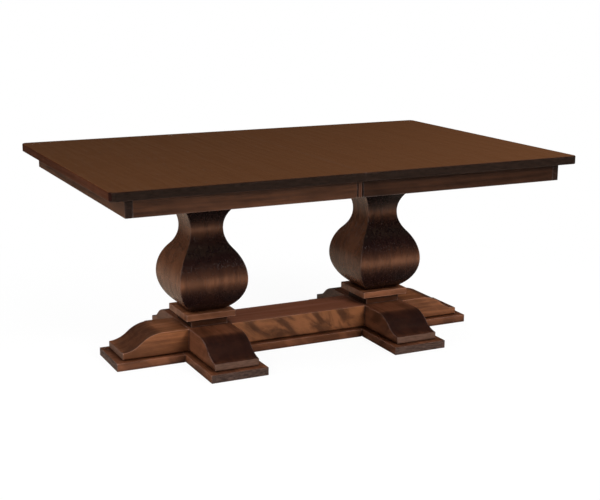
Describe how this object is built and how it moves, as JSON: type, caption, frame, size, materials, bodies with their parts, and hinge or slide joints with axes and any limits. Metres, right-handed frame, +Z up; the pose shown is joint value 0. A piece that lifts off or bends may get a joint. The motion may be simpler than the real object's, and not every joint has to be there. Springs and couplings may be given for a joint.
{
  "type": "dining table",
  "caption": "Extending dining table: split rectangular top with a low apron, square urn pedestals on ogee feet, a low stretcher, and geared slides that part the top evenly.",
  "frame": {"origin": "on the floor under the middle of the closed table", "axes": "+X along the table's length, +Y to the back, +Z up"},
  "size_m": [1.829, 1.219, 0.77],
  "materials": {
    "stained_top": "satin lacquer over dark brown stain",
    "stained_apron": "satin lacquer over dark brown stain",
    "stained_post": "satin lacquer over dark brown stain",
    "stained_base": "satin lacquer over warm brown stain",
    "plain_maple": "unstained hard maple, sanded",
    "zinc_steel": "zinc plated"
  },
  "bodies": {
    "base": {"centre_rail_back": "plain_maple", "centre_rail_front": "plain_maple", "cleat_left": "plain_maple", "cleat_right": "plain_maple", "cross_board_left": "stained_base", "cross_board_right": "stained_base", "cross_foot_left": "stained_base", "cross_foot_right": "stained_base", "end_board_left": "stained_base", "end_board_right": "stained_base", "end_foot_left": "stained_base", "end_foot_right": "stained_base", "neck_block_left": "stained_post", "neck_block_right": "stained_post", "pinion_pivots": "zinc_steel", "plinth_left": "stained_post", "plinth_right": "stained_post", "stretcher": "stained_base", "stretcher_board": "stained_base", "urn_post_left": "stained_post", "urn_post_right": "stained_post"},
    "right_top": {"right_back_apron": "stained_apron", "right_corner_braces": "plain_maple", "right_end_apron": "stained_apron", "right_front_apron": "stained_apron", "right_packers": "plain_maple", "right_racks": "zinc_steel", "right_rail_back": "plain_maple", "right_rail_front": "plain_maple", "right_top_panel": "stained_top", "lock_keepers": "zinc_steel"},
    "left_top": {"left_back_apron": "stained_apron", "left_corner_braces": "plain_maple", "left_end_apron": "stained_apron", "left_front_apron": "stained_apron", "left_packers": "plain_maple", "left_racks": "zinc_steel", "left_rail_back": "plain_maple", "left_rail_front": "plain_maple", "left_top_panel": "stained_top", "seam_pins": "plain_maple", "seam_strips": "stained_apron", "seam_strip_blocks": "plain_maple", "lock_plates": "zinc_steel"},
    "pinion_front": {"pinion_front": "zinc_steel"},
    "pinion_back": {"pinion_back": "zinc_steel"},
    "lock_lever_front": {"lock_lever_front": "zinc_steel"},
    "lock_lever_back": {"lock_lever_back": "zinc_steel"}
  },
  "joints": [
    {"name": "right_slide", "type": "slide", "parent": "base", "child": "right_top", "axis": [1, 0, 0], "range_m": [0, 0.61]},
    {"name": "left_slide", "type": "slide", "parent": "base", "child": "left_top", "axis": [-1, 0, 0], "range_m": [0, 0.61]},
    {"name": "pinion_front_spin", "type": "hinge", "parent": "base", "child": "pinion_front", "pos_m": [0, -0.25, 0.6833], "axis": [0, 0, 1], "range_deg": [0, 1460]},
    {"name": "pinion_back_spin", "type": "hinge", "parent": "base", "child": "pinion_back", "pos_m": [0, 0.25, 0.6833], "axis": [0, 0, 1], "range_deg": [-1460, 0]},
    {"name": "lock_front_swing", "type": "hinge", "parent": "left_top", "child": "lock_lever_front", "pos_m": [-0.04, -0.43, 0.7342], "axis": [0, 0, 1], "range_deg": [-90, 0]},
    {"name": "lock_back_swing", "type": "hinge", "parent": "left_top", "child": "lock_lever_back", "pos_m": [-0.04, 0.43, 0.7342], "axis": [0, 0, 1], "range_deg": [0, 90]}
  ],
  "couplings": [
    {"joint": "left_slide", "follows": "right_slide", "ratio": 1},
    {"joint": "pinion_front_spin", "follows": "right_slide", "rad_per_m": 41.667},
    {"joint": "pinion_back_spin", "follows": "right_slide", "rad_per_m": -41.667}
  ]
}
